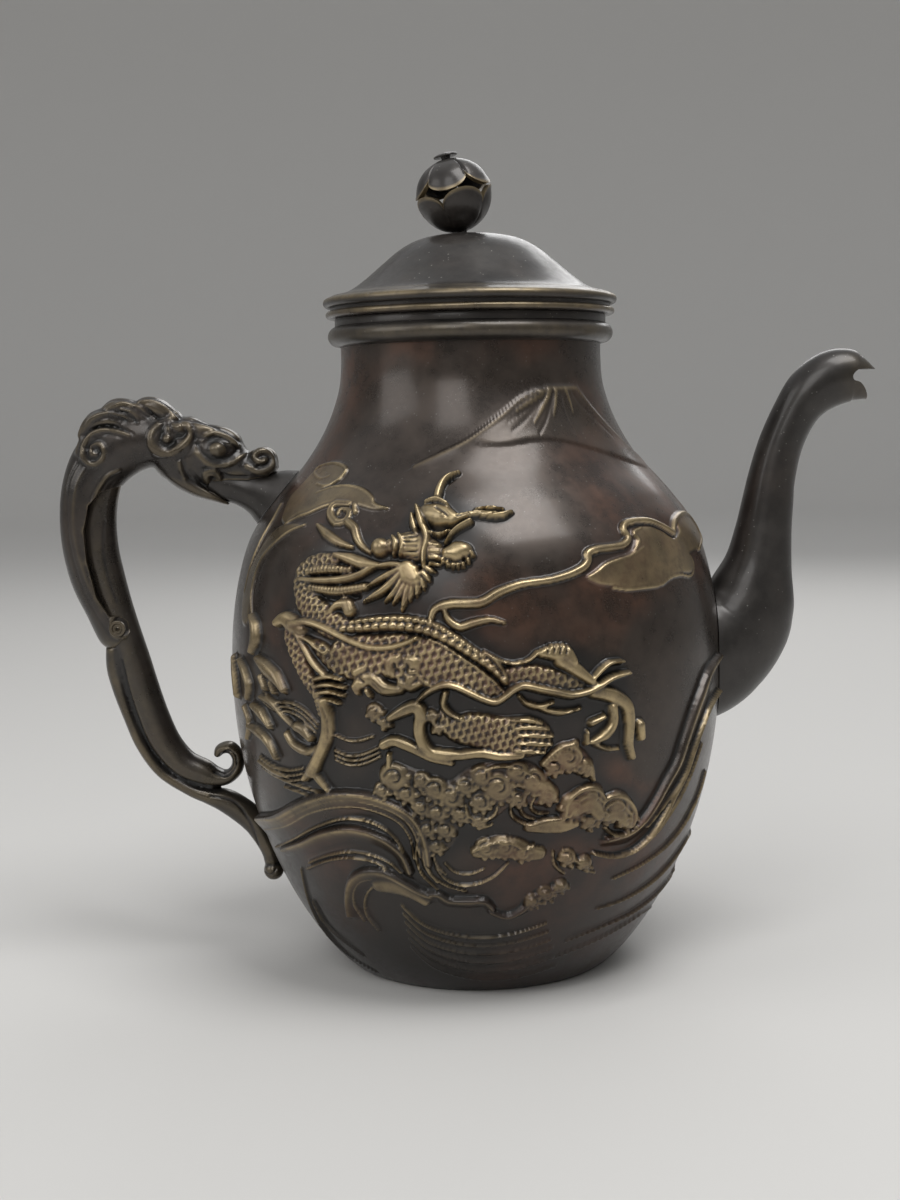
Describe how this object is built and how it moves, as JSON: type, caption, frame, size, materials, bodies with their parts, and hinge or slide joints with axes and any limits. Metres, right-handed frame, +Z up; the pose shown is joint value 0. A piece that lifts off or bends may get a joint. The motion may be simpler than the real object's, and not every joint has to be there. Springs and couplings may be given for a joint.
{
  "type": "bronze ewer",
  "caption": "Lidded cast bronze ewer: pear-shaped body in relief, gooseneck spout, dragon-head handle and a loose domed lid with an openwork bud knob.",
  "frame": {"origin": "on the body's axis, in the plane of the foot ring that it stands on", "axes": "+Z up along the body's axis, +X towards the spout, -X towards the handle, -Y is the front with the dragon"},
  "size_m": [0.2759, 0.1674, 0.2716],
  "materials": {
    "body_bronze": "dark brown patina, worn to brass on the relief",
    "dark_bronze": "satin dark grey-brown patina",
    "handle_bronze": "brown patina, rubbed on the high places",
    "rubbed_bronze": "patina rubbed back to brass"
  },
  "bodies": {
    "ewer": {"body_shell": "body_bronze", "neck_shell": "body_bronze", "base_plate": "dark_bronze", "mouth_ring": "dark_bronze", "spout": "dark_bronze", "handle_lug": "dark_bronze", "dragon_head": "handle_bronze", "handle_branch": "handle_bronze", "sheath_pin": "rubbed_bronze"},
    "lid": {"lid_dome": "dark_bronze", "lid_seat_ring": "rubbed_bronze", "lid_bezel": "dark_bronze", "bud_washer": "dark_bronze", "bud_cup": "dark_bronze", "bud_crown": "dark_bronze", "bud_pin": "dark_bronze"}
  },
  "joints": [
    {"name": "lid_lift", "type": "slide", "parent": "ewer", "child": "lid", "axis": [0, 0, 1], "range_m": [0, 0.06]}
  ]
}
